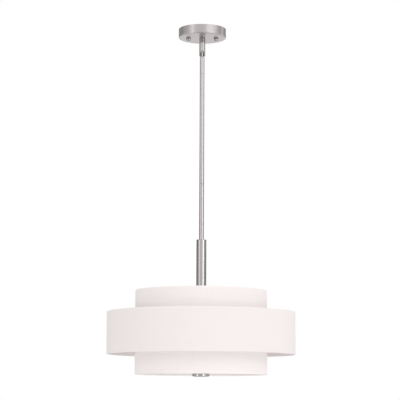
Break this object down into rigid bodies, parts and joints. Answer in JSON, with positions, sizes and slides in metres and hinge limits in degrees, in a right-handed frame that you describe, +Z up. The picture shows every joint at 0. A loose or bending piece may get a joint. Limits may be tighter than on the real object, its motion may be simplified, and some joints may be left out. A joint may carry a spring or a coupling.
{
  "type": "drum chandelier",
  "caption": "Ceiling pendant on a slim nickel rod with two concentric off-white fabric drums, a tall one inside a wide one, a swivel at the canopy, a diffuser and a round finial.",
  "frame": {"origin": "on the lamp's vertical axis, in the plane of the ceiling, which the crossbar and the canopy's rim meet", "axes": "+Z up towards the ceiling, +X to the right in the picture, +Y away from the viewer"},
  "size_m": [0.507, 0.507, 0.9528],
  "materials": {
    "brushed_nickel": "satin brushed nickel plate, warm grey",
    "brushed_nickel_canopy": "satin nickel plate on a spun steel cover",
    "zinc_plated_steel": "bright zinc plate, dull",
    "green_screw": "green dyed zinc plate",
    "shade_fabric": "off-white woven fabric, matt",
    "shade_liner": "white styrene sheet",
    "white_painted_wire": "white powder coat",
    "white_acrylic": "opal white, soft gloss",
    "socket_phenolic": "moulded phenolic, pale",
    "screw_shell_aluminium": "rolled aluminium",
    "contact_brass": "plain brass"
  },
  "bodies": {
    "ceiling_mount": {"box_strap": "zinc_plated_steel", "canopy_strap": "zinc_plated_steel", "strap_rivet": "zinc_plated_steel", "ground_screw": "green_screw", "canopy": "brushed_nickel_canopy", "canopy_screw_left": "zinc_plated_steel", "canopy_screw_right": "zinc_plated_steel", "jam_nut_left": "zinc_plated_steel", "jam_nut_right": "zinc_plated_steel"},
    "left_knob": {"canopy_knob_left": "brushed_nickel"},
    "right_knob": {"canopy_knob_right": "brushed_nickel"},
    "swivel": {"swivel_collar": "brushed_nickel", "lock_washer": "zinc_plated_steel", "collar_nut": "zinc_plated_steel", "swivel_pin_left": "brushed_nickel", "swivel_pin_right": "brushed_nickel"},
    "hanging_shades": {"swivel_stem": "brushed_nickel", "upper_rod": "brushed_nickel", "rod_coupling": "brushed_nickel", "lower_rod": "brushed_nickel", "centre_pipe": "brushed_nickel", "column_sleeve": "brushed_nickel", "sleeve_top_cap": "brushed_nickel", "sleeve_bottom_cap": "brushed_nickel", "wiring_cup": "brushed_nickel", "socket_plate": "zinc_plated_steel", "socket_body_1": "socket_phenolic", "socket_shell_1": "screw_shell_aluminium", "socket_contact_1": "contact_brass", "socket_bolt_1": "zinc_plated_steel", "socket_body_2": "socket_phenolic", "socket_shell_2": "screw_shell_aluminium", "socket_contact_2": "contact_brass", "socket_bolt_2": "zinc_plated_steel", "socket_body_3": "socket_phenolic", "socket_shell_3": "screw_shell_aluminium", "socket_contact_3": "contact_brass", "socket_bolt_3": "zinc_plated_steel", "arm_hub": "brushed_nickel", "tier_arm_1": "brushed_nickel", "arm_nut_1": "brushed_nickel", "arm_eyelet_1": "brushed_nickel", "tier_arm_2": "brushed_nickel", "arm_nut_2": "brushed_nickel", "arm_eyelet_2": "brushed_nickel", "tier_arm_3": "brushed_nickel", "arm_nut_3": "brushed_nickel", "arm_eyelet_3": "brushed_nickel", "inner_top_frame": "white_painted_wire", "inner_bottom_ring": "white_painted_wire", "inner_liner": "shade_liner", "inner_fabric": "shade_fabric", "outer_top_frame": "white_painted_wire", "outer_bottom_ring": "white_painted_wire", "outer_liner": "shade_liner", "outer_fabric": "shade_fabric", "diffuser": "white_acrylic", "diffuser_rod": "zinc_plated_steel"},
    "finial_knob": {"finial": "brushed_nickel"}
  },
  "joints": [
    {"name": "left_knob_turn", "type": "hinge", "parent": "ceiling_mount", "child": "left_knob", "pos_m": [-0.0381, 0, -0.025], "axis": [0, 0, 1], "continuous": true},
    {"name": "right_knob_turn", "type": "hinge", "parent": "ceiling_mount", "child": "right_knob", "pos_m": [0.0381, 0, -0.025], "axis": [0, 0, 1], "continuous": true},
    {"name": "collar_turn", "type": "hinge", "parent": "ceiling_mount", "child": "swivel", "pos_m": [0, 0, -0.025], "axis": [0, 0, 1], "range_deg": [-175, 175]},
    {"name": "shade_tilt", "type": "hinge", "parent": "swivel", "child": "hanging_shades", "pos_m": [0, 0, -0.0634], "axis": [-1, 0, 0], "range_deg": [0, 45]},
    {"name": "finial_turn", "type": "hinge", "parent": "hanging_shades", "child": "finial_knob", "pos_m": [0, 0, -0.9433], "axis": [0, 0, 1], "continuous": true}
  ]
}
